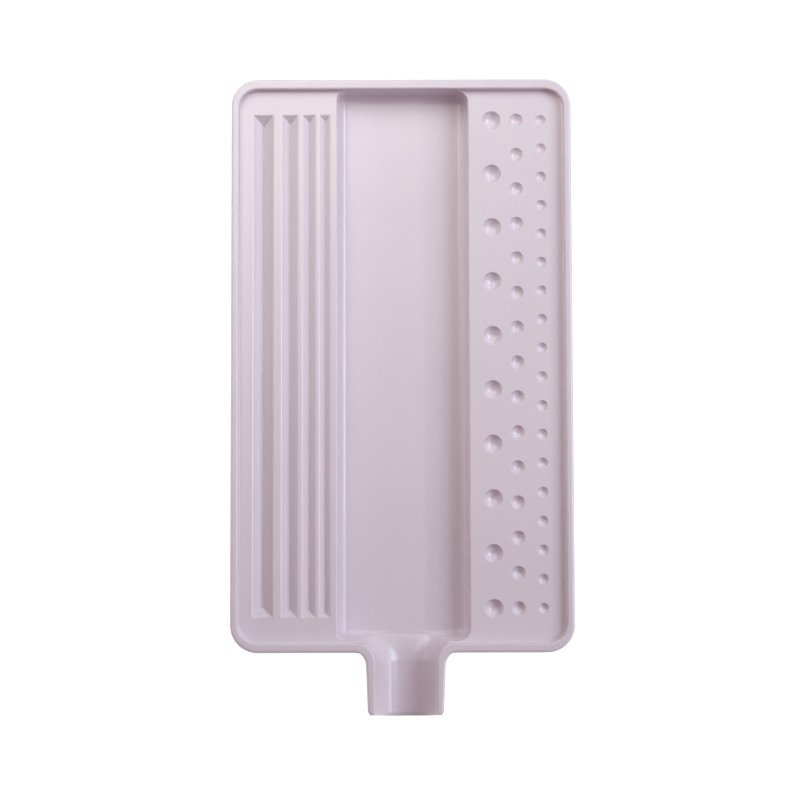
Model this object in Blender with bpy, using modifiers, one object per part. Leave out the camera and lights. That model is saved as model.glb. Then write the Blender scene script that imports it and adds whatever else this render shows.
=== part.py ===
"""A one-piece moulded tray for sorting round beads, with a pouring spout.

A raised rim runs round a shallow pocket. On the left a ledge carries four V grooves, in the middle a
deeper trough runs out into a half-round spout, and on the right a ledge carries three rows of round
dimples. The walls have one thickness, so the underside is hollow beneath both ledges.

Metres, +Z up. The tray rests on Z = 0, the spout points to -Y and the dimples are on the +X side.
The origin is under the middle of the tray's overall box.
"""

from math import cos, pi, radians, sin, sqrt, tan

import bmesh
import bpy
from mathutils import Matrix

# Overall size
OVERALL_LENGTH = 0.1604
BODY_LENGTH = 0.1446
BODY_WIDTH = 0.0860
HEIGHT = 0.0108
CORNER_RADIUS = 0.0070

# Rim and walls
SIDE_RIM = 0.0019
FRONT_RIM = 0.0023
BACK_RIM = 0.0026
RIM_ROUND = 0.0005
WALL = 0.0018
FLOOR = 0.0020
POCKET_DRAFT = radians(4)
TROUGH_SIDE_DRAFT = radians(8)
TROUGH_END_DRAFT = radians(3)
CORE_DRAFT = radians(3)

# Pocket and trough, sizes at the level of the ledges
POCKET_DEPTH = 0.0023
POCKET_RADIUS = 0.0050
TROUGH_WIDTH = 0.0333
TROUGH_OFFSET = 0.0003
TROUGH_RADIUS = 0.0030
TROUGH_CLEARANCE = 0.00004

# Spout, a half-round gutter whose axes lie just above the plane of the rim
SPOUT_AXIS_LIFT = 0.00006
SPOUT_OFFSET = 0.0008
SPOUT_ROOT_HALF_WIDTH = 0.0100
SPOUT_TIP_HALF_WIDTH = 0.0096
SPOUT_SKIN = 0.0002
SPOUT_ROOT_FILLET = 0.0030
SPOUT_TIP_RADIUS = 0.0015
CHANNEL_OFFSET = 0.0009
CHANNEL_RADIUS = 0.0078
CHANNEL_FLARE = 0.0045
CHANNEL_FLARE_LENGTH = 0.0060

# V grooves: centre and width of each, with 45 degree flanks and hipped ends
GROOVES = ((-0.03490, 0.0052), (-0.02822, 0.0042), (-0.02335, 0.0034), (-0.01938, 0.0028))
GROOVE_LENGTH = 0.1270

# Dimples: row centre, diameter and number in each row
DIMPLE_ROWS = ((0.0228, 0.0046, 10), (0.0290, 0.0034, 15), (0.0352, 0.0026, 18))
DIMPLE_SPAN = 0.1232
DIMPLE_DEPTH_RATIO = 0.40
DIMPLE_CENTRE_SHIFT = 0.0003
LARGE_DIMPLE = 0.0040
BOSS_MARGIN = 0.0008

ARC_STEPS = 6
RIM_STEPS = 3
TURN_STEPS = 32
OVERCUT = 0.0020
GROOVE_OVERCUT = 0.0002
WELD = 0.000001
UPRIGHT = (0.0, 0.0)

SPOUT_REACH = OVERALL_LENGTH - BODY_LENGTH
BODY_Y = SPOUT_REACH / 2
BODY_BACK = BODY_Y + BODY_LENGTH / 2
BODY_FRONT = BODY_Y - BODY_LENGTH / 2
SPOUT_TIP = -OVERALL_LENGTH / 2
LEDGE_Z = HEIGHT - POCKET_DEPTH
LEDGE_UNDERSIDE = LEDGE_Z - WALL
POCKET_WIDTH = BODY_WIDTH - 2 * SIDE_RIM
POCKET_LENGTH = BODY_LENGTH - FRONT_RIM - BACK_RIM
POCKET_Y = BODY_Y + (FRONT_RIM - BACK_RIM) / 2


def clear_scene():
    for item in list(bpy.data.objects):
        bpy.data.objects.remove(item, do_unlink=True)


def new_collection(name):
    group = bpy.data.collections.new(name)
    bpy.context.scene.collection.children.link(group)
    return group


def plastic(name, colour, roughness):
    material = bpy.data.materials.new(name)
    material.use_nodes = True
    shader = material.node_tree.nodes["Principled BSDF"]
    shader.inputs["Base Color"].default_value = colour
    shader.inputs["Roughness"].default_value = roughness
    shader.inputs["Metallic"].default_value = 0.0
    return material


def object_from_bmesh(name, mesh_data, group):
    bmesh.ops.recalc_face_normals(mesh_data, faces=mesh_data.faces)
    mesh = bpy.data.meshes.new(name)
    mesh_data.to_mesh(mesh)
    mesh_data.free()
    item = bpy.data.objects.new(name, mesh)
    group.objects.link(item)
    return item


def as_cutter(item):
    item.display_type = "WIRE"
    item.hide_render = True
    return item


def combine(target, operand, operation):
    modifier = target.modifiers.new(f"{operation.lower()}_{operand.name}", "BOOLEAN")
    modifier.operation = operation
    modifier.solver = "EXACT"
    modifier.object = operand


def arc(centre, radius, start, end):
    """Points on an arc from one angle to the other, in degrees, both ends included."""
    points = []
    for step in range(ARC_STEPS + 1):
        angle = radians(start + (end - start) * step / ARC_STEPS)
        points.append((centre[0] + radius * cos(angle), centre[1] + radius * sin(angle)))
    return points


def tray_outline(inset):
    """Plan of the tray: a rounded rectangle with the spout let into its front by concave fillets.

    The inset moves the whole outline inwards, so outer corners tighten and the fillets open.
    """
    side = BODY_WIDTH / 2 - CORNER_RADIUS
    back = BODY_BACK - CORNER_RADIUS
    front = BODY_FRONT + CORNER_RADIUS
    corner = CORNER_RADIUS - inset
    root = SPOUT_ROOT_HALF_WIDTH + SPOUT_ROOT_FILLET
    fillet = SPOUT_ROOT_FILLET + inset
    fillet_y = BODY_FRONT - SPOUT_ROOT_FILLET
    tip = SPOUT_TIP_HALF_WIDTH - SPOUT_TIP_RADIUS
    tip_y = SPOUT_TIP + SPOUT_TIP_RADIUS
    tip_corner = SPOUT_TIP_RADIUS - inset
    points = arc((side, back), corner, 0, 90)
    points += arc((-side, back), corner, 90, 180)
    points += arc((-side, front), corner, 180, 270)
    points += arc((SPOUT_OFFSET - root, fillet_y), fillet, 90, 0)
    points += arc((SPOUT_OFFSET - tip, tip_y), tip_corner, 180, 270)
    points += arc((SPOUT_OFFSET + tip, tip_y), tip_corner, 270, 360)
    points += arc((SPOUT_OFFSET + root, fillet_y), fillet, 180, 90)
    points += arc((side, front), corner, 270, 360)
    return points


def rim_levels():
    """Height and inset of each outline up the outer wall and over the rounded edge of the rim."""
    levels = [(-OVERCUT, 0.0)]
    for step in range(RIM_STEPS + 1):
        angle = radians(90) * step / RIM_STEPS
        height = HEIGHT - RIM_ROUND * (1 - sin(angle))
        levels.append((height, RIM_ROUND * (1 - cos(angle))))
    return levels


def outline_loft(name, outlines, group):
    """A closed solid through outlines that lie one above the other, each with as many points."""
    solid = bmesh.new()
    rings = []
    for height, points in outlines:
        rings.append([solid.verts.new((x, y, height)) for x, y in points])
    for lower, upper in zip(rings, rings[1:]):
        for index in range(len(lower)):
            after = (index + 1) % len(lower)
            solid.faces.new((lower[index], lower[after], upper[after], upper[index]))
    solid.faces.new(rings[0])
    solid.faces.new(rings[-1])
    return object_from_bmesh(name, solid, group)


def drafted_block(name, centre, size, low, high, drafts, radius, group):
    """A box that opens outwards as it rises, with rounded upright corners.

    The size is that of its lower face. The two drafts are those of its sides and of its ends, and a
    negative draft closes the box as it rises.
    """
    block = bmesh.new()
    bmesh.ops.create_cube(block, size=1.0)
    for vertex in block.verts:
        rise = high - low if vertex.co.z > 0 else 0.0
        vertex.co.x = centre[0] + (vertex.co.x * 2) * (size[0] / 2 + rise * tan(drafts[0]))
        vertex.co.y = centre[1] + (vertex.co.y * 2) * (size[1] / 2 + rise * tan(drafts[1]))
        vertex.co.z = low + rise
    if radius > 0:
        uprights = [edge for edge in block.edges if abs(edge.verts[0].co.z - edge.verts[1].co.z) > WELD]
        bmesh.ops.bevel(
            block,
            geom=uprights,
            offset=radius,
            offset_type="OFFSET",
            segments=ARC_STEPS,
            profile=0.5,
            affect="EDGES",
        )
    return object_from_bmesh(name, block, group)


def groove_wedge(name, x, width, length, depth, top, group):
    """An upturned hipped roof: a box whose lower face is closed up to a ridge line."""
    wedge = bmesh.new()
    bmesh.ops.create_cube(wedge, size=1.0)
    for vertex in wedge.verts:
        upper = vertex.co.z > 0
        vertex.co.x = x + (vertex.co.x * width if upper else 0.0)
        vertex.co.y = BODY_Y + vertex.co.y * (length if upper else length - width)
        vertex.co.z = top if upper else top - depth
    bmesh.ops.remove_doubles(wedge, verts=wedge.verts, dist=WELD)
    return object_from_bmesh(name, wedge, group)


def turned_spout(name, x, profile, group):
    """A turned solid about an axis along the spout, from (distance along -Y, radius) points."""
    mesh = bpy.data.meshes.new(name)
    vertices = [(radius, 0.0, distance) for distance, radius in profile]
    edges = [(index, index + 1) for index in range(len(vertices) - 1)]
    mesh.from_pydata(vertices, edges, [])
    item = bpy.data.objects.new(name, mesh)
    item.location = (x, 0.0, HEIGHT + SPOUT_AXIS_LIFT)
    item.rotation_euler = (radians(90), 0.0, 0.0)
    group.objects.link(item)
    screw = item.modifiers.new("turn", "SCREW")
    screw.axis = "Z"
    screw.angle = 2 * pi
    screw.steps = TURN_STEPS
    screw.render_steps = TURN_STEPS
    screw.use_merge_vertices = True
    screw.merge_threshold = 10 * WELD
    screw.use_smooth_shade = True
    return item


def flared_profile(tip, wall, back, tip_radius, root_radius, flare, flare_length):
    """Outer line of a gutter that widens in a quarter ellipse where it meets the wall."""
    points = [(tip, 0.0), (tip, tip_radius), (wall + flare_length, root_radius)]
    for step in range(1, ARC_STEPS + 1):
        angle = radians(90) * step / ARC_STEPS
        points.append((wall + flare_length * (1 - sin(angle)), root_radius + flare * (1 - cos(angle))))
    points += [(back, root_radius + flare), (back, 0.0)]
    return points


def dimple_places():
    """Centre, diameter of every dimple, row by row."""
    places = []
    for x, diameter, count in DIMPLE_ROWS:
        for index in range(count):
            y = BODY_Y + DIMPLE_CENTRE_SHIFT + DIMPLE_SPAN * (0.5 - index / (count - 1))
            places.append((x, y, diameter))
    return places


def dimple_cutters(group):
    """Spheres that stand a little proud of the ledge and leave a cap in it."""
    balls = bmesh.new()
    for x, y, diameter in dimple_places():
        depth = DIMPLE_DEPTH_RATIO * diameter
        radius = (diameter * diameter / 4 + depth * depth) / (2 * depth)
        large = diameter > LARGE_DIMPLE
        bmesh.ops.create_uvsphere(
            balls,
            u_segments=12 if large else 10,
            v_segments=8 if large else 6,
            radius=radius,
            matrix=Matrix.Translation((x, y, LEDGE_Z - depth + radius)),
        )
    return object_from_bmesh("dimple_cutters", balls, group)


def dimple_bosses(group):
    """Tapered bosses that keep a wall of plastic under every dimple."""
    bosses = bmesh.new()
    for x, y, diameter in dimple_places():
        low = LEDGE_Z - DIMPLE_DEPTH_RATIO * diameter - WALL
        high = LEDGE_UNDERSIDE + GROOVE_OVERCUT
        bmesh.ops.create_cone(
            bosses,
            cap_ends=True,
            segments=10,
            radius1=diameter / 3 + BOSS_MARGIN,
            radius2=diameter / 2 + BOSS_MARGIN,
            depth=high - low,
            matrix=Matrix.Translation((x, y, (low + high) / 2)),
        )
    return object_from_bmesh("dimple_bosses", bosses, group)


def trough_half_width(z):
    return TROUGH_WIDTH / 2 + (z - LEDGE_Z) * tan(TROUGH_SIDE_DRAFT)


def outer_solid(group, cutters):
    """The tray's outside: a rounded slab whose spout is turned round underneath."""
    outlines = [(height, tray_outline(inset)) for height, inset in rim_levels()]
    tray = outline_loft("tray", outlines, group)
    envelope = drafted_block(
        "body_envelope",
        (0.0, BODY_Y),
        (BODY_WIDTH + 2 * OVERCUT, BODY_LENGTH + 2 * TROUGH_CLEARANCE),
        0.0,
        HEIGHT + OVERCUT,
        UPRIGHT,
        0.0,
        cutters,
    )
    profile = flared_profile(
        -SPOUT_TIP + OVERCUT,
        -BODY_FRONT,
        -BODY_FRONT - SPOUT_ROOT_FILLET,
        SPOUT_TIP_HALF_WIDTH + SPOUT_SKIN,
        SPOUT_ROOT_HALF_WIDTH + SPOUT_SKIN,
        SPOUT_ROOT_FILLET,
        SPOUT_ROOT_FILLET,
    )
    gutter = turned_spout("spout_envelope", SPOUT_OFFSET, profile, cutters)
    table = drafted_block(
        "below_table",
        (0.0, 0.0),
        (BODY_WIDTH * 2, OVERALL_LENGTH * 2),
        -HEIGHT,
        0.0,
        UPRIGHT,
        0.0,
        cutters,
    )
    combine(gutter, as_cutter(table), "DIFFERENCE")
    combine(envelope, as_cutter(gutter), "UNION")
    combine(tray, as_cutter(envelope), "INTERSECT")
    return tray


def cut_top(tray, cutters):
    """The pocket, the trough, the spout's channel, the grooves and the dimples."""
    narrow = 2 * POCKET_DEPTH * tan(POCKET_DRAFT)
    pocket = drafted_block(
        "pocket_cutter",
        (0.0, POCKET_Y),
        (POCKET_WIDTH - narrow, POCKET_LENGTH - narrow),
        LEDGE_Z,
        HEIGHT + OVERCUT,
        (POCKET_DRAFT, POCKET_DRAFT),
        POCKET_RADIUS,
        cutters,
    )
    trough_length = POCKET_LENGTH + 2 * TROUGH_CLEARANCE - 2 * (HEIGHT - FLOOR) * tan(TROUGH_END_DRAFT)
    trough = drafted_block(
        "trough_cutter",
        (TROUGH_OFFSET, POCKET_Y),
        (2 * trough_half_width(FLOOR), trough_length),
        FLOOR,
        HEIGHT + OVERCUT,
        (TROUGH_SIDE_DRAFT, TROUGH_END_DRAFT),
        TROUGH_RADIUS,
        cutters,
    )
    wall = -BODY_FRONT - FRONT_RIM
    profile = flared_profile(
        -SPOUT_TIP + OVERCUT,
        wall,
        wall - OVERCUT,
        CHANNEL_RADIUS,
        CHANNEL_RADIUS,
        CHANNEL_FLARE,
        CHANNEL_FLARE_LENGTH,
    )
    channel = turned_spout("channel_cutter", CHANNEL_OFFSET, profile, cutters)
    floor_stop = drafted_block(
        "channel_floor",
        (CHANNEL_OFFSET, BODY_FRONT),
        (CHANNEL_RADIUS * 4, CHANNEL_FLARE_LENGTH * 2 + FRONT_RIM * 4),
        -HEIGHT,
        FLOOR,
        UPRIGHT,
        0.0,
        cutters,
    )
    combine(channel, as_cutter(floor_stop), "DIFFERENCE")
    for cutter in (pocket, trough, channel):
        combine(tray, as_cutter(cutter), "DIFFERENCE")
    for number, (x, width) in enumerate(GROOVES, start=1):
        wide = width + 2 * GROOVE_OVERCUT
        long = GROOVE_LENGTH + 2 * GROOVE_OVERCUT
        top = LEDGE_Z + GROOVE_OVERCUT
        wedge = groove_wedge(f"groove_cutter_{number}", x, wide, long, wide / 2, top, cutters)
        combine(tray, as_cutter(wedge), "DIFFERENCE")
    combine(tray, as_cutter(dimple_cutters(cutters)), "DIFFERENCE")


def core_block(name, inner, outer, cutters):
    """The hollow under one ledge, between the trough's wall and the outer wall."""
    narrow = 2 * LEDGE_UNDERSIDE * tan(CORE_DRAFT)
    return drafted_block(
        name,
        ((inner + outer) / 2, POCKET_Y),
        (abs(outer - inner), POCKET_LENGTH),
        -OVERCUT,
        LEDGE_UNDERSIDE,
        (-CORE_DRAFT, -CORE_DRAFT),
        POCKET_RADIUS - narrow,
        cutters,
    )


def cut_underside(tray, cutters):
    """Cores both ledges out from below, leaving the ribs under the grooves and the dimples' bosses."""
    trough_side = TROUGH_WIDTH / 2 + WALL
    outer_side = BODY_WIDTH / 2 - SIDE_RIM
    left = core_block("groove_side_core", TROUGH_OFFSET - trough_side, -outer_side, cutters)
    top = LEDGE_UNDERSIDE + GROOVE_OVERCUT
    grow = 2 * WALL * (sqrt(2) - 1) + 2 * GROOVE_OVERCUT
    for number, (x, width) in enumerate(GROOVES, start=1):
        wide = width + grow
        rib = groove_wedge(f"groove_rib_{number}", x, wide, GROOVE_LENGTH + wide, wide / 2, top, cutters)
        combine(left, as_cutter(rib), "DIFFERENCE")
    right = core_block("dimple_side_core", TROUGH_OFFSET + trough_side, outer_side, cutters)
    combine(right, as_cutter(dimple_bosses(cutters)), "DIFFERENCE")
    for core in (left, right):
        combine(tray, as_cutter(core), "DIFFERENCE")


def main():
    clear_scene()
    parts = new_collection("sorting_tray")
    cutters = new_collection("sorting_tray_cutters")
    tray = outer_solid(parts, cutters)
    cut_top(tray, cutters)
    cut_underside(tray, cutters)
    tray.data.materials.clear()
    tray.data.materials.append(plastic("white_plastic", (0.76, 0.70, 0.75, 1.0), 0.30))


main()
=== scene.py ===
"""The finished look of a one-piece moulded sorting tray with a pouring spout.

The tray is rebuilt as one fine mesh: a lofted outer body, cut by lofted and turned cutters whose own
profiles carry the rounded lips, the drafted walls and the fillets. Metres, +Z up, spout towards -Y.
"""

from math import atan2, cos, pi, radians, sin, sqrt, tan

import bmesh
import bpy
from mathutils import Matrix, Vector


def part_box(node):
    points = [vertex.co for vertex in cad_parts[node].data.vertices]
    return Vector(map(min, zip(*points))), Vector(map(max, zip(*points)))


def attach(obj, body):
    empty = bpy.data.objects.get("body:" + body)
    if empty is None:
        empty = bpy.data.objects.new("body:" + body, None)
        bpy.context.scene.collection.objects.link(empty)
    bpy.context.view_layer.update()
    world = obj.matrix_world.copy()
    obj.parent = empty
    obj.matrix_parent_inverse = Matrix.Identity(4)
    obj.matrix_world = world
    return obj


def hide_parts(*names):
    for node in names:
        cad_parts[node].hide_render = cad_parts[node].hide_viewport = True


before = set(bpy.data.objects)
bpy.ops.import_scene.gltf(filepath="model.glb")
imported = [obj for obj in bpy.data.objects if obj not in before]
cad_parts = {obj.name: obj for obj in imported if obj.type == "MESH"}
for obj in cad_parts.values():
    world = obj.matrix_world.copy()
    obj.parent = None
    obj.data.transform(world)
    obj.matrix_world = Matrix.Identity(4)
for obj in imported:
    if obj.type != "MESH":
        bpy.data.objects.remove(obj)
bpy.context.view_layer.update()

LOW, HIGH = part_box("tray")

# Outer body
RIM_Z = HIGH.z
TIP_Y = LOW.y
BACK_Y = HIGH.y
HALF_WIDTH = (HIGH.x - LOW.x) / 2
SPOUT_REACH = 0.0158
FRONT_Y = TIP_Y + SPOUT_REACH
BODY_Y = (FRONT_Y + BACK_Y) / 2
CORNER_RADIUS = 0.0070
RIM_ROUND = 0.0008
RIM_ROUND_SQUASH = 0.98
FOOT_ROUND = 0.0004
OUTER_DRAFT = radians(0.5)

# Pocket inside the rim
SIDE_RIM = 0.0019
FRONT_RIM = 0.0023
BACK_RIM = 0.0026
POCKET_DEPTH = 0.0023
POCKET_RADIUS = 0.0050
POCKET_FILLET = 0.0004
RIM_LIP = 0.00045
POCKET_DRAFT = radians(4)
LEDGE_Z = RIM_Z - POCKET_DEPTH
POCKET_HALF_WIDTH = HALF_WIDTH - SIDE_RIM
POCKET_HALF_LENGTH = (BACK_Y - BACK_RIM - FRONT_Y - FRONT_RIM) / 2
POCKET_Y = BODY_Y + (FRONT_RIM - BACK_RIM) / 2
END_WALL_Y = FRONT_Y + FRONT_RIM

# Trough
FLOOR_Z = 0.0020
TROUGH_X = 0.0003
TROUGH_HALF_WIDTH = 0.01665
TROUGH_SIDE_DRAFT = radians(8)
TROUGH_BACK_DRAFT = radians(3)
TROUGH_FRONT_DRAFT = radians(14)
TROUGH_RADIUS_LEFT = 0.0024
TROUGH_RADIUS_RIGHT = 0.0034
TROUGH_RADIUS_LEAST = 0.0002
TROUGH_FILLET = 0.0019
TROUGH_BACK_FILLET = 0.0019
TROUGH_FRONT_FILLET = 0.0018
TROUGH_LIP = 0.0004
TROUGH_RECESS = 0.00002

# Spout and its channel
SPOUT_X = 0.0008
SPOUT_ROOT = 0.0100
SPOUT_TIP = 0.0096
SPOUT_FILLET = 0.0030
SPOUT_CORNER = 0.0019
SPOUT_SKIN = 0.0002
CHANNEL_X = 0.0009
CHANNEL_RADIUS = 0.0078
CHANNEL_LIFT = 0.00006
CHANNEL_FLOOR_GAP = 0.00001
CHANNEL_DEPTH_IN_TROUGH = RIM_Z + CHANNEL_LIFT - FLOOR_Z - CHANNEL_FLOOR_GAP
TIP_RUN = END_WALL_Y - TIP_Y
TIP_OVERRUN = 0.00002
TIP_LIP_LENGTH = 0.0012
TIP_LIP_RUN = TIP_RUN - TIP_LIP_LENGTH
TIP_LIP_DROP = 0.0008
TIP_LEAN = radians(3.5)
MOUTH_LEAD = 0.0030
MOUTH_LEAD_STEPS = 12
MOUTH_LENGTH = 0.0045
MOUTH_FLARE_LEFT = 0.0052
MOUTH_FLARE_RIGHT = 0.0038
MOUTH_SQUARENESS = 0.6
RAMP_START = -0.0006
RAMP_END = 0.0056
RAMP_FOOT = 0.12

# Grooves (centre, width) and rows of dimples (centre, diameter, number), as the frame has them
GROOVES = ((-0.03490, 0.0052), (-0.02822, 0.0042), (-0.02335, 0.0034), (-0.01938, 0.0028))
GROOVE_LENGTH = 0.1270
GROOVE_LIP = 0.0008
DIMPLE_ROWS = ((0.0228, 0.0046, 10), (0.0290, 0.0034, 15), (0.0352, 0.0026, 18))
DIMPLE_SPAN = 0.1232
DIMPLE_SHIFT = 0.0003
DIMPLE_DEPTH_RATIO = 0.40
DIMPLE_LIP = 0.00035
LARGE_DIMPLE = 0.0040

# Underside
WALL = 0.0018
CORE_DRAFT = radians(3)
CORE_FILLET = 0.0008
CORE_RADIUS = 0.0043
BOSS_SKIN = 0.0013

# Plastic: colours, the part of each noise that is used, scales in features per metre, and strengths
ALBEDO_LIGHT = (0.72, 0.64, 0.73, 1.0)
ALBEDO_WARM = (0.75, 0.66, 0.74, 1.0)
ALBEDO_DEEP = (0.70, 0.62, 0.71, 1.0)
ALBEDO_SPECK = (0.45, 0.37, 0.37, 1.0)
NOISE_LOW = 0.3
NOISE_HIGH = 0.7
FLOW_SCALE = 45.0
MOTTLE_SCALE = 1600.0
MOTTLE_LOW = 0.35
MOTTLE_HIGH = 0.75
MOTTLE_STRENGTH = 0.30
SPECK_SCALE = 420.0
SPECK_CORE = 0.05
SPECK_EDGE = 0.09
SPECK_STRENGTH = 0.22
GLOSS_SCALE = 900.0
ROUGHNESS_LEAST = 0.20
ROUGHNESS_MOST = 0.25
PEEL_SCALE = 700.0
PEEL_STRENGTH = 0.20
GRAIN_SCALE = 2600.0
GRAIN_STRENGTH = 0.30
BUMP_HEIGHT = 0.00002

# Floor, light and camera
FLOOR_GAP = 0.0001
FLOOR_REACH = 2.5
FLOOR_ROUGHNESS = 0.8
FLOOR_WHITE = (1.0, 1.0, 1.0, 1.0)
FLOOR_SHADE = (0.5, 0.5, 0.5, 1.0)
FLOOR_GLOW = 0.86
FILL_COLOUR = (1.0, 0.62, 0.67)
FILL = 0.22
# Name, bearing from +X towards +Y, lean from upright, distance, (across, up) size, spread, how far
# behind the tray's middle it is aimed, watts, colour
SOFT_BOXES = (
    ("back_box", 116, 28, 0.30, (0.20, 0.102), 80, 0.045, 0.0425, (1.0, 1.0, 0.84)),
    ("back_low_box", 116, 50, 0.28, (0.20, 0.112), 80, 0.045, 0.0555, (0.87, 1.0, 0.90)),
    ("back_spot", 115, 40, 0.80, (0.06, 0.06), 180, 0.0, 0.09, (1.0, 1.0, 1.0)),
    ("right_box", 18, 46, 1.00, (0.56, 0.42), 180, 0.0, 5.25, (0.75, 0.895, 1.0)),
    ("right_spot", -3, 61, 0.80, (0.32, 0.05), 180, 0.0, 0.85, (1.0, 1.0, 0.85)),
    ("left_card", 172, 78, 0.80, (0.60, 0.12), 180, 0.0, 0.65, (1.0, 1.0, 1.0)),
)
VIEW_X = -0.00050
VIEW_Y = -0.00931
VIEW_DISTANCE = 0.600
VIEW_LEAN = radians(4.7)
VIEW_ROLL = radians(-0.15)
LENS = 108.0
SENSOR_WIDTH = 36.0
CLIP_START = 0.01

# Fineness of the mesh, and small lengths that keep cutters apart
ARC_STEPS = 14
ROUND_STEPS = 8
LIP_STEPS = 5
LIP_CROSSING = 1.5
RIM_LIP_FIRST_STEP = 3
GUTTER_SEGMENTS = 96
CHANNEL_SEGMENTS = 64
LARGE_DIMPLE_SEGMENTS = 36
SMALL_DIMPLE_SEGMENTS = 28
BOSS_SEGMENTS = 24
CAP_LEAST_PART = 0.02
SHARP_ANGLE = radians(35)
CLEAR = 0.0020
PROUD = 0.0002
HAIR = 0.000002


# ---------------------------------------------------------------- outlines and profiles


def arc(centre, radii, start, end, steps=ARC_STEPS):
    """Points on an elliptical arc between two angles in degrees, both ends included."""
    points = []
    for step in range(steps + 1):
        angle = radians(start + (end - start) * step / steps)
        points.append((centre[0] + radii[0] * cos(angle), centre[1] + radii[1] * sin(angle)))
    return points


def rounded_rectangle(centre, half, left, right):
    """A rectangle whose left and right corners have their own (x, y) radii, counter-clockwise."""
    x, y = centre
    points = arc((x + half[0] - right[0], y + half[1] - right[1]), right, 0, 90)
    points += arc((x - half[0] + left[0], y + half[1] - left[1]), left, 90, 180)
    points += arc((x - half[0] + left[0], y - half[1] + left[1]), left, 180, 270)
    points += arc((x + half[0] - right[0], y - half[1] + right[1]), right, 270, 360)
    return points


def body_outline(inset):
    """Plan of the tray with its spout. Outer corners tighten and the root fillets open with the inset."""
    side = HALF_WIDTH - CORNER_RADIUS
    back = BACK_Y - CORNER_RADIUS
    front = FRONT_Y + CORNER_RADIUS
    corner = (CORNER_RADIUS - inset,) * 2
    root = SPOUT_ROOT + SPOUT_FILLET
    fillet = (SPOUT_FILLET + inset,) * 2
    fillet_y = FRONT_Y - SPOUT_FILLET
    tip = SPOUT_TIP - SPOUT_CORNER
    tip_y = TIP_Y + SPOUT_CORNER
    tip_corner = (SPOUT_CORNER - inset,) * 2
    points = arc((side, back), corner, 0, 90)
    points += arc((-side, back), corner, 90, 180)
    points += arc((-side, front), corner, 180, 270)
    points += arc((SPOUT_X - root, fillet_y), fillet, 90, 0)
    points += arc((SPOUT_X - tip, tip_y), tip_corner, 180, 270)
    points += arc((SPOUT_X + tip, tip_y), tip_corner, 270, 360)
    points += arc((SPOUT_X + root, fillet_y), fillet, 180, 90)
    points += arc((side, front), corner, 270, 360)
    return points


def opening_outline(outset):
    """Plan of the open top: the pocket, and the channel that leaves it between two flared lips."""
    half = (POCKET_HALF_WIDTH + outset, POCKET_HALF_LENGTH + outset)
    corner = (POCKET_RADIUS + outset,) * 2
    channel = CHANNEL_RADIUS + outset
    past_tip = TIP_Y - CLEAR
    left_flare = (MOUTH_FLARE_LEFT - outset, MOUTH_LENGTH - outset)
    right_flare = (MOUTH_FLARE_RIGHT - outset, MOUTH_LENGTH - outset)
    left_x = CHANNEL_X - CHANNEL_RADIUS - MOUTH_FLARE_LEFT
    right_x = CHANNEL_X + CHANNEL_RADIUS + MOUTH_FLARE_RIGHT
    flare_y = END_WALL_Y - MOUTH_LENGTH
    points = arc((half[0] - corner[0], POCKET_Y + half[1] - corner[1]), corner, 0, 90)
    points += arc((-half[0] + corner[0], POCKET_Y + half[1] - corner[1]), corner, 90, 180)
    points += arc((-half[0] + corner[0], POCKET_Y - half[1] + corner[1]), corner, 180, 270)
    points += arc((left_x, flare_y), left_flare, 90, 0)
    points += [(CHANNEL_X - channel, past_tip), (CHANNEL_X + channel, past_tip)]
    points += arc((right_x, flare_y), right_flare, 180, 90)
    points += arc((half[0] - corner[0], POCKET_Y - half[1] + corner[1]), corner, 270, 360)
    return points


def foot_arc(low, high, draft, radius, steps=ROUND_STEPS):
    """(height, outset) points of the fillet between a floor and a drafted wall.

    The outset is measured from where the wall would meet the plane at high.
    """
    corner = (low - high) * tan(draft)
    centre = corner - radius * tan((pi / 2 - draft) / 2)
    points = []
    for step in range(steps + 1):
        angle = -pi / 2 + (pi / 2 - draft) * step / steps
        points.append((low + radius + radius * sin(angle), centre + radius * cos(angle)))
    return points


def lip_lift(radius, turn, steps):
    """How far a lip's arc is raised, so that it crosses the plane it ends in part-way along a step."""
    return radius * (1 - cos(LIP_CROSSING * turn / steps))


def lip_arc(high, draft, radius, steps=ROUND_STEPS):
    """(height, outset) points of the rounded edge between a drafted wall and the plane at high."""
    turn = pi / 2 - draft
    centre = radius * tan(turn / 2)
    base = high + lip_lift(radius, turn, steps) - radius
    points = []
    for step in range(steps + 1):
        angle = pi - draft - turn * step / steps
        points.append((base + radius * sin(angle), centre + radius * cos(angle)))
    return points


# ---------------------------------------------------------------- solids


def object_from(name, solid):
    """A scene object from a bmesh, with its faces pointing out."""
    bmesh.ops.recalc_face_normals(solid, faces=solid.faces)
    mesh = bpy.data.meshes.new(name)
    solid.to_mesh(mesh)
    solid.free()
    mesh.shade_smooth()
    item = bpy.data.objects.new(name, mesh)
    bpy.context.scene.collection.objects.link(item)
    return item


def add_loft(solid, rings):
    """Adds a closed solid through rings of (x, y, z) points, each ring with as many points."""
    layers = [[solid.verts.new(point) for point in ring] for ring in rings]
    for lower, upper in zip(layers, layers[1:]):
        for index in range(len(lower)):
            after = (index + 1) % len(lower)
            solid.faces.new((lower[index], lower[after], upper[after], upper[index]))
    solid.faces.new(layers[0])
    solid.faces.new(layers[-1])


def loft(name, rings):
    """One closed object through rings of points."""
    solid = bmesh.new()
    add_loft(solid, rings)
    return object_from(name, solid)


def level(points, z):
    """A ring of plan points at one height."""
    return [(x, y, z) for x, y in points]


def block(name, low, high):
    """A plain box, used to limit other cutters."""
    plan = [(low[0], low[1]), (high[0], low[1]), (high[0], high[1]), (low[0], high[1])]
    return loft(name, [level(plan, low[2]), level(plan, high[2])])


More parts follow.
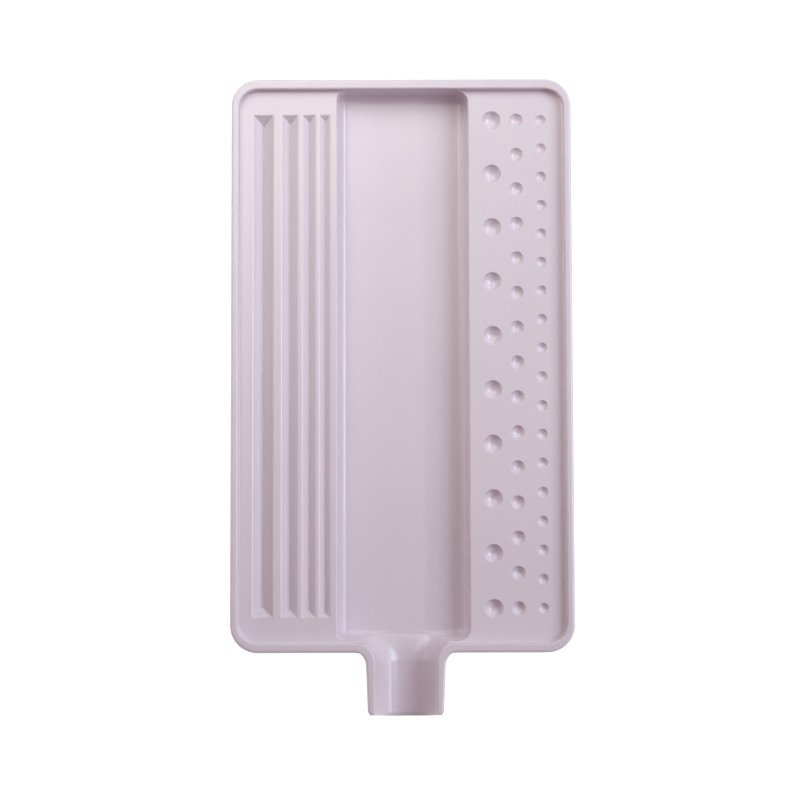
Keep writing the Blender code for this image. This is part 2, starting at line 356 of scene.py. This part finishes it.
def combine(target, operand, operation="DIFFERENCE"):
    """Applies one boolean to the target's mesh and removes the operand."""
    modifier = target.modifiers.new(operation, "BOOLEAN")
    modifier.operation = operation
    modifier.solver = "EXACT"
    modifier.object = operand
    bpy.context.view_layer.update()
    cut = bpy.data.meshes.new_from_object(target.evaluated_get(bpy.context.evaluated_depsgraph_get()))
    target.modifiers.remove(modifier)
    target.data = cut
    bpy.data.objects.remove(operand, do_unlink=True)


# ---------------------------------------------------------------- the tray


def outer_body():
    """The outside: foot, drafted wall and rounded rim, with a spout that is round underneath."""
    levels = []
    for step in range(ROUND_STEPS + 1):
        angle = pi / 2 * step / ROUND_STEPS
        levels.append((FOOT_ROUND * (1 - cos(angle)), FOOT_ROUND * (1 - sin(angle))))
    for step in range(ROUND_STEPS + 1):
        angle = pi / 2 * step / ROUND_STEPS
        z = RIM_Z - RIM_ROUND * (1 - sin(angle))
        levels.append((z, z * tan(OUTER_DRAFT) + RIM_ROUND * (1 - cos(angle)) * RIM_ROUND_SQUASH))
    return loft("tray_body", [level(body_outline(inset), z) for z, inset in levels])


def spout_envelope():
    """What the outside is trimmed to: the body's block, and a gutter with a flared root."""
    start = FRONT_Y - SPOUT_FILLET
    steps = [(TIP_Y, SPOUT_TIP + SPOUT_SKIN - FOOT_ROUND)]
    for step in range(1, ROUND_STEPS + 1):
        angle = pi / 2 * step / ROUND_STEPS
        reach = TIP_Y + FOOT_ROUND * (1 - cos(angle))
        steps.append((reach, SPOUT_TIP + SPOUT_SKIN - FOOT_ROUND * (1 - sin(angle))))
    for step in range(ARC_STEPS + 1):
        angle = pi / 2 * step / ARC_STEPS
        radius = SPOUT_ROOT + SPOUT_SKIN + SPOUT_FILLET * (1 - cos(angle))
        steps.append((start + SPOUT_FILLET * sin(angle), radius))
    steps.append((FRONT_Y + SPOUT_FILLET, SPOUT_ROOT + SPOUT_SKIN + SPOUT_FILLET))
    rings = []
    for y, radius in steps:
        ring = []
        for index in range(GUTTER_SEGMENTS):
            angle = 2 * pi * (index + 0.5) / GUTTER_SEGMENTS
            z = RIM_Z + CHANNEL_LIFT + radius * sin(angle)
            ring.append((SPOUT_X + radius * cos(angle), y + max(z - FLOOR_Z, 0.0) * tan(TIP_LEAN), z))
        rings.append(ring)
    envelope = loft("spout_envelope", rings)
    half = HALF_WIDTH + CLEAR
    low = (-half, FRONT_Y - TROUGH_RECESS, -CLEAR)
    high = (half, BACK_Y + CLEAR, RIM_Z + CLEAR)
    body = block("body_envelope", low, high)
    combine(envelope, body, "UNION")
    return envelope


def pocket_cutter():
    """The shallow pocket inside the rim, with drafted walls and a small fillet at the ledges."""
    profile = foot_arc(LEDGE_Z, RIM_Z, POCKET_DRAFT, POCKET_FILLET)
    profile.append((RIM_Z + CLEAR, CLEAR * tan(POCKET_DRAFT)))
    rings = []
    for z, outset in profile:
        half = (POCKET_HALF_WIDTH + outset, POCKET_HALF_LENGTH + outset)
        corner = (POCKET_RADIUS + outset,) * 2
        rings.append(level(rounded_rectangle((0.0, POCKET_Y), half, corner, corner), z))
    return loft("pocket_cutter", rings)


def rim_lip_cutter():
    """Rounds the inner edge of the rim and the spout's lips in one sweep.

    The sweep starts inside the opening and joins the lip's arc part-way up.
    """
    lip = lip_arc(RIM_Z, POCKET_DRAFT, RIM_LIP)
    rings = [level(opening_outline(-RIM_LIP), RIM_Z - RIM_LIP)]
    for z, outset in lip[RIM_LIP_FIRST_STEP:]:
        rings.append(level(opening_outline(outset), z))
    rings.append(level(opening_outline(lip[-1][1]), RIM_Z + CLEAR))
    return loft("rim_lip_cutter", rings)


def wall_outset(z, high, draft, fillet):
    """Outset of a trough wall or of its fillet at a height, from where the wall meets the plane at high."""
    rise = z - FLOOR_Z
    if rise >= fillet * (1 - sin(draft)):
        return (z - high) * tan(draft)
    centre = (FLOOR_Z - high) * tan(draft) - fillet * tan((pi / 2 - draft) / 2)
    return centre + sqrt(fillet * fillet - (fillet - rise) ** 2)


def trough_cutter():
    """The trough: side walls end in a rounded lip at the ledges, and end walls run on up to the rim."""
    heights = [z for z, _ in foot_arc(FLOOR_Z, LEDGE_Z, TROUGH_SIDE_DRAFT, TROUGH_FILLET)]
    levels = [(z, wall_outset(z, LEDGE_Z, TROUGH_SIDE_DRAFT, TROUGH_FILLET)) for z in heights]
    levels += lip_arc(LEDGE_Z, TROUGH_SIDE_DRAFT, TROUGH_LIP)
    levels.append((RIM_Z + CLEAR, levels[-1][1]))
    rings = []
    for z, across in levels:
        back = wall_outset(z, RIM_Z, TROUGH_BACK_DRAFT, TROUGH_BACK_FILLET)
        front = wall_outset(z, RIM_Z, TROUGH_FRONT_DRAFT, TROUGH_FRONT_FILLET)
        along = (back + front) / 2
        centre = (TROUGH_X, POCKET_Y + (back - front) / 2)
        half = (TROUGH_HALF_WIDTH + across, POCKET_HALF_LENGTH + TROUGH_RECESS + along)
        corners = []
        for radius in (TROUGH_RADIUS_LEFT, TROUGH_RADIUS_RIGHT):
            corners.append(tuple(max(radius + outset, TROUGH_RADIUS_LEAST) for outset in (across, along)))
        rings.append(level(rounded_rectangle(centre, half, *corners), z))
    return loft("trough_cutter", rings)


def smooth_step(value):
    """Eases from 0 to 1 as the value does, and stays at either end outside that range."""
    value = min(max(value, 0.0), 1.0)
    return value * value * (3 - 2 * value)


def mouth_half_widths(run):
    """Half-widths of the channel, left and right, at a distance beyond the trough's end wall."""
    if run >= MOUTH_LENGTH:
        return CHANNEL_RADIUS, CHANNEL_RADIUS
    widening = 1 - sqrt(1 - (1 - max(run, 0.0) / MOUTH_LENGTH) ** 2)
    spread = max(-run, 0.0)
    left = CHANNEL_RADIUS + MOUTH_FLARE_LEFT * widening + spread
    right = CHANNEL_RADIUS + MOUTH_FLARE_RIGHT * widening + spread
    return left, right


def ramp_height(run):
    """How far the channel's floor has climbed, from 0 to 1: a short rounded foot, then an easing slope."""
    part = min(max((run - RAMP_START) / (RAMP_END - RAMP_START), 0.0), 1.0)
    if part < RAMP_FOOT:
        return part * part / RAMP_FOOT
    return 1 - (1 - part) ** 2 / (1 - RAMP_FOOT)


def channel_runs():
    """Distances beyond the trough's end wall at which the channel's section is laid out."""
    runs = [MOUTH_LEAD * (step / MOUTH_LEAD_STEPS - 1) for step in range(MOUTH_LEAD_STEPS)]
    runs += [MOUTH_LENGTH * (1 - cos(pi / 2 * step / ARC_STEPS)) for step in range(ARC_STEPS + 1)]
    for step in range(ROUND_STEPS):
        runs.append(TIP_LIP_RUN + TIP_LIP_LENGTH * sin(pi / 2 * step / ROUND_STEPS))
    runs.append(TIP_RUN + TIP_OVERRUN)
    return sorted(runs)


def channel_ring(run):
    """The channel's section at one distance: half-round in the spout, squarer and leaning in the mouth."""
    depth = CHANNEL_DEPTH_IN_TROUGH + (CHANNEL_RADIUS - CHANNEL_DEPTH_IN_TROUGH) * ramp_height(run)
    left, right = mouth_half_widths(run)
    past = min(max(run - TIP_LIP_RUN, 0.0) / TIP_LIP_LENGTH, 1.0)
    droop = TIP_LIP_DROP * (1 - sqrt(1 - past * past))
    in_mouth = 1 - smooth_step(run / MOUTH_LENGTH)
    lean = tan(TROUGH_FRONT_DRAFT) * in_mouth
    power = 1 - (1 - MOUTH_SQUARENESS) * in_mouth
    ring = []
    for index in range(CHANNEL_SEGMENTS + 1):
        angle = pi * index / CHANNEL_SEGMENTS
        half = right if index < CHANNEL_SEGMENTS / 2 else -left
        drop = (depth + droop) * max(sin(angle), 0.0) ** power
        x = CHANNEL_X + half * abs(cos(angle)) ** power
        ring.append((x, END_WALL_Y - run + lean * drop, RIM_Z + CHANNEL_LIFT - drop))
    top = RIM_Z + CLEAR
    ring.append((CHANNEL_X - left, END_WALL_Y - run, top))
    ring.append((CHANNEL_X + right, END_WALL_Y - run, top))
    return ring


def channel_cutter():
    """The spout's half-round channel, which flares and ramps down into the trough."""
    rings = [channel_ring(run) for run in channel_runs()]
    rings.append([(x, y - CLEAR, z) for x, y, z in rings[-1]])
    return loft("channel_cutter", rings)


def groove_rings(x, half, length, top, lip):
    """Rings of an upturned hipped roof with 45 degree flanks, from its ridge up past the top plane."""
    levels = [(top - half, -half + HAIR)]
    if lip > 0:
        levels += lip_arc(top, pi / 4, lip, LIP_STEPS)
        levels.append((top + PROUD, levels[-1][1]))
    else:
        levels.append((top + PROUD, PROUD))
    rings = []
    for z, outset in levels:
        across = half + outset
        along = length / 2 + outset
        plan = [(x + across, BODY_Y + along), (x - across, BODY_Y + along)]
        plan += [(x - across, BODY_Y - along), (x + across, BODY_Y - along)]
        rings.append(level(plan, z))
    return rings


def dimple_places():
    """(x, y, diameter) of every dimple, row by row."""
    places = []
    for x, diameter, count in DIMPLE_ROWS:
        for index in range(count):
            y = BODY_Y + DIMPLE_SHIFT + DIMPLE_SPAN * (0.5 - index / (count - 1))
            places.append((x, y, diameter))
    return places


def cap(diameter):
    """Depth of a dimple, and radius of the ball that it is a cap of."""
    depth = DIMPLE_DEPTH_RATIO * diameter
    return depth, (diameter * diameter / 4 + depth * depth) / (2 * depth)


def turned_rings(x, y, profile, segments):
    """Rings of a solid turned about an upright axis, from (radius, height) points."""
    rings = []
    for radius, z in profile:
        ring = []
        for index in range(segments):
            angle = 2 * pi * index / segments
            ring.append((x + radius * cos(angle), y + radius * sin(angle), z))
        rings.append(ring)
    return rings


def dimple_rings(x, y, diameter):
    """Rings of a spherical cap that ends in a rounded lip in the ledge."""
    depth, ball = cap(diameter)
    centre = ball - depth
    lip_radius = sqrt((ball + DIMPLE_LIP) ** 2 - (centre + DIMPLE_LIP) ** 2)
    touch = atan2(-(centre + DIMPLE_LIP), lip_radius)
    profile = []
    for step in range(ROUND_STEPS + 1):
        angle = -pi / 2 + (touch + pi / 2) * max(step / ROUND_STEPS, CAP_LEAST_PART)
        profile.append((ball * cos(angle), LEDGE_Z + centre + ball * sin(angle)))
    turn = pi / 2 + touch
    lip_centre = LEDGE_Z - DIMPLE_LIP + lip_lift(DIMPLE_LIP, turn, LIP_STEPS)
    for step in range(1, LIP_STEPS + 1):
        angle = touch + pi - turn * step / LIP_STEPS
        profile.append((lip_radius + DIMPLE_LIP * cos(angle), lip_centre + DIMPLE_LIP * sin(angle)))
    profile.append((lip_radius, LEDGE_Z + PROUD))
    segments = LARGE_DIMPLE_SEGMENTS if diameter > LARGE_DIMPLE else SMALL_DIMPLE_SEGMENTS
    return turned_rings(x, y, profile, segments)


def boss_rings(x, y, diameter):
    """Rings of the round-bottomed boss that backs one dimple."""
    depth, ball = cap(diameter)
    skin = ball + BOSS_SKIN
    centre = LEDGE_Z + ball - depth
    top = LEDGE_Z - WALL + PROUD
    reach = atan2(top - centre, sqrt(skin * skin - (top - centre) ** 2))
    profile = []
    for step in range(ROUND_STEPS + 1):
        angle = -pi / 2 + (reach + pi / 2) * max(step / ROUND_STEPS, CAP_LEAST_PART)
        profile.append((skin * cos(angle), centre + skin * sin(angle)))
    return turned_rings(x, y, profile, BOSS_SEGMENTS)


def core_cutter(name, inner, outer):
    """The hollow under one ledge, with a filleted ceiling and walls that open towards the table."""
    centre = ((inner + outer) / 2, POCKET_Y)
    top = LEDGE_Z - WALL
    levels = [(-CLEAR, CLEAR * tan(CORE_DRAFT))]
    for rise, outset in reversed(foot_arc(0.0, top, CORE_DRAFT, CORE_FILLET)):
        levels.append((top - rise, outset))
    rings = []
    for z, outset in levels:
        half = (abs(outer - inner) / 2 + outset, POCKET_HALF_LENGTH + outset)
        corner = (CORE_RADIUS + outset,) * 2
        rings.append(level(rounded_rectangle(centre, half, corner, corner), z))
    return loft(name, rings)


def underside_cores():
    """Both hollows, less the ribs that back the grooves and the bosses that back the dimples."""
    trough_side = TROUGH_HALF_WIDTH + WALL
    outer_side = HALF_WIDTH - SIDE_RIM
    left = core_cutter("groove_side_core", TROUGH_X - trough_side, -outer_side)
    top = LEDGE_Z - WALL
    for number, (x, width) in enumerate(GROOVES, start=1):
        half = width / 2 + WALL * (sqrt(2) - 1)
        combine(left, loft(f"rib_{number}", groove_rings(x, half, GROOVE_LENGTH + 2 * half, top, 0.0)))
    right = core_cutter("dimple_side_core", TROUGH_X + trough_side, outer_side)
    bosses = bmesh.new()
    for x, y, diameter in dimple_places():
        add_loft(bosses, boss_rings(x, y, diameter))
    combine(right, object_from("dimple_bosses", bosses))
    return left, right


def cut_top(tray):
    """The pocket, the trough, the spout's channel, the grooves and the dimples."""
    for cutter in (pocket_cutter(), trough_cutter(), channel_cutter()):
        combine(tray, cutter)
    for number, (x, width) in enumerate(GROOVES, start=1):
        rings = groove_rings(x, width / 2, GROOVE_LENGTH, LEDGE_Z, GROOVE_LIP)
        combine(tray, loft(f"groove_{number}", rings))
    dimples = bmesh.new()
    for x, y, diameter in dimple_places():
        add_loft(dimples, dimple_rings(x, y, diameter))
    combine(tray, object_from("dimple_cutters", dimples))


def clean_mesh(item):
    """Joins the doubled points and removes the slivers that cutting leaves."""
    weld = bmesh.new()
    weld.from_mesh(item.data)
    bmesh.ops.remove_doubles(weld, verts=weld.verts, dist=HAIR)
    bmesh.ops.dissolve_degenerate(weld, edges=weld.edges, dist=HAIR)
    weld.to_mesh(item.data)
    weld.free()


def shade(item):
    """Smooth shading that leaves flat faces flat and real edges sharp."""
    item.data.shade_smooth()
    item.data.set_sharp_from_angle(angle=SHARP_ANGLE)
    weighted = item.modifiers.new("face_weighted_normals", "WEIGHTED_NORMAL")
    weighted.mode = "FACE_AREA"
    weighted.keep_sharp = True


def make_tray():
    """The whole tray. The rim's lip is cut last, because it runs on into the spout's lips."""
    tray = outer_body()
    combine(tray, spout_envelope(), "INTERSECT")
    cut_top(tray)
    for core in underside_cores():
        combine(tray, core)
    combine(tray, rim_lip_cutter())
    tray.name = "moulded_tray"
    tray.data.name = "moulded_tray"
    clean_mesh(tray)
    shade(tray)
    return tray


# ---------------------------------------------------------------- material


def node(tree, kind, place, **settings):
    """A new shader node at a place in the node editor."""
    made = tree.nodes.new(kind)
    made.location = place
    for name, value in settings.items():
        setattr(made, name, value)
    return made


def noise(tree, place, coordinates, scale, detail):
    """The factor of a fractal noise."""
    made = node(tree, "ShaderNodeTexNoise", place)
    made.inputs["Scale"].default_value = scale
    made.inputs["Detail"].default_value = detail
    tree.links.new(coordinates, made.inputs["Vector"])
    return made.outputs["Fac"]


def blend_range(tree, place, value, low, high, to_low, to_high):
    """A value moved from one range to another, and held at its ends."""
    made = node(tree, "ShaderNodeMapRange", place)
    made.inputs["From Min"].default_value = low
    made.inputs["From Max"].default_value = high
    made.inputs["To Min"].default_value = to_low
    made.inputs["To Max"].default_value = to_high
    tree.links.new(value, made.inputs["Value"])
    return made.outputs["Result"]


def mix_colour(tree, place, factor, first, second):
    """A mix of two colours. The first may be a colour or another node's output."""
    made = node(tree, "ShaderNodeMix", place, data_type="RGBA")
    if isinstance(first, tuple):
        made.inputs["A"].default_value = first
    else:
        tree.links.new(first, made.inputs["A"])
    made.inputs["B"].default_value = second
    tree.links.new(factor, made.inputs["Factor"])
    return made.outputs["Result"]


def bump(tree, place, height, strength, normal=None):
    """A surface normal tilted by a height, on top of another bump if there is one."""
    made = node(tree, "ShaderNodeBump", place)
    made.inputs["Strength"].default_value = strength
    made.inputs["Distance"].default_value = BUMP_HEIGHT
    tree.links.new(height, made.inputs["Height"])
    if normal is not None:
        tree.links.new(normal, made.inputs["Normal"])
    return made.outputs["Normal"]


def plastic_colour(tree, place):
    """Warm flow marks, fine mottling and a few faint specks."""
    flow = noise(tree, (-600, 300), place, FLOW_SCALE, 3.0)
    flow = blend_range(tree, (-400, 300), flow, NOISE_LOW, NOISE_HIGH, 0.0, 1.0)
    mottle = noise(tree, (-600, 100), place, MOTTLE_SCALE, 3.0)
    mottle = blend_range(tree, (-400, 100), mottle, MOTTLE_LOW, MOTTLE_HIGH, 0.0, MOTTLE_STRENGTH)
    cells = node(tree, "ShaderNodeTexVoronoi", (-600, -150))
    cells.inputs["Scale"].default_value = SPECK_SCALE
    tree.links.new(place, cells.inputs["Vector"])
    middle = cells.outputs["Distance"]
    speck = blend_range(tree, (-400, -150), middle, SPECK_CORE, SPECK_EDGE, SPECK_STRENGTH, 0.0)
    colour = mix_colour(tree, (0, 300), flow, ALBEDO_LIGHT, ALBEDO_WARM)
    colour = mix_colour(tree, (200, 300), mottle, colour, ALBEDO_DEEP)
    return mix_colour(tree, (400, 300), speck, colour, ALBEDO_SPECK)


def plastic_normal(tree, place):
    """Orange peel with a finer grain over it."""
    peel = noise(tree, (-600, -650), place, PEEL_SCALE, 2.0)
    peeled = bump(tree, (300, -500), peel, PEEL_STRENGTH)
    grain = noise(tree, (-600, -850), place, GRAIN_SCALE, 2.0)
    return bump(tree, (500, -500), grain, GRAIN_STRENGTH, peeled)


def satin_plastic():
    """Off-white moulded plastic with a soft, slightly uneven gloss."""
    material = bpy.data.materials.new("satin_white_plastic")
    material.use_nodes = True
    tree = material.node_tree
    shader = tree.nodes["Principled BSDF"]
    shader.location = (900, 0)
    place = node(tree, "ShaderNodeTexCoord", (-900, 0)).outputs["Object"]
    gloss = noise(tree, (-600, -400), place, GLOSS_SCALE, 3.0)
    gloss_ends = (NOISE_LOW, NOISE_HIGH, ROUGHNESS_LEAST, ROUGHNESS_MOST)
    gloss = blend_range(tree, (-400, -400), gloss, *gloss_ends)
    tree.links.new(plastic_colour(tree, place), shader.inputs["Base Color"])
    tree.links.new(gloss, shader.inputs["Roughness"])
    tree.links.new(plastic_normal(tree, place), shader.inputs["Normal"])
    return material


# ---------------------------------------------------------------- floor, light and camera


def white_floor():
    """A plain, evenly lit white surface under the tray."""
    surface = bmesh.new()
    bmesh.ops.create_grid(surface, x_segments=1, y_segments=1, size=FLOOR_REACH)
    floor = object_from("floor", surface)
    floor.location.z = -FLOOR_GAP
    material = bpy.data.materials.new("white_floor")
    material.use_nodes = True
    shader = material.node_tree.nodes["Principled BSDF"]
    shader.inputs["Base Color"].default_value = FLOOR_SHADE
    shader.inputs["Roughness"].default_value = FLOOR_ROUGHNESS
    shader.inputs["Emission Color"].default_value = FLOOR_WHITE
    shader.inputs["Emission Strength"].default_value = FLOOR_GLOW
    floor.data.materials.append(material)


def soft_box(name, bearing, lean, distance, size, spread, aim, power, colour):
    """An area light over the tray, aimed at its middle or at a point a little behind it."""
    lamp = bpy.data.lights.new(name, "AREA")
    lamp.shape = "RECTANGLE"
    lamp.size, lamp.size_y = size
    lamp.spread = radians(spread)
    lamp.energy = power
    lamp.color = colour
    item = bpy.data.objects.new(name, lamp)
    turn = radians(bearing)
    tilt = radians(lean)
    way = Vector((cos(turn) * sin(tilt), sin(turn) * sin(tilt), cos(tilt)))
    middle = Vector((0.0, BODY_Y, RIM_Z))
    target = middle + Vector((0.0, aim, 0.0))
    item.location = middle + way * distance
    item.rotation_euler = (item.location - target).to_track_quat("Z", "Y").to_euler()
    bpy.context.scene.collection.objects.link(item)


def lighting():
    """A faint even fill and the soft boxes."""
    world = bpy.data.worlds.new("studio")
    world.use_nodes = True
    background = world.node_tree.nodes["Background"]
    background.inputs["Color"].default_value = (*FILL_COLOUR, 1.0)
    background.inputs["Strength"].default_value = FILL
    bpy.context.scene.world = world
    for box in SOFT_BOXES:
        soft_box(*box)


def camera():
    """Looks down on the tray, leaning a little towards the spout end."""
    lens = bpy.data.cameras.new("camera")
    lens.sensor_width = SENSOR_WIDTH
    lens.lens = LENS
    lens.clip_start = CLIP_START
    item = bpy.data.objects.new("camera", lens)
    aim = Vector((VIEW_X, BODY_Y + VIEW_Y, RIM_Z))
    back = Vector((0.0, -sin(VIEW_LEAN), cos(VIEW_LEAN)))
    item.location = aim + back * VIEW_DISTANCE
    item.rotation_euler = (VIEW_LEAN, 0.0, 0.0)
    item.rotation_euler.rotate_axis("Z", VIEW_ROLL)
    bpy.context.scene.collection.objects.link(item)
    bpy.context.scene.camera = item


tray = make_tray()
tray.data.materials.clear()
tray.data.materials.append(satin_plastic())
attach(tray, "root")
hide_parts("tray")
white_floor()
lighting()
camera()
bpy.context.scene.view_settings.view_transform = "Standard"
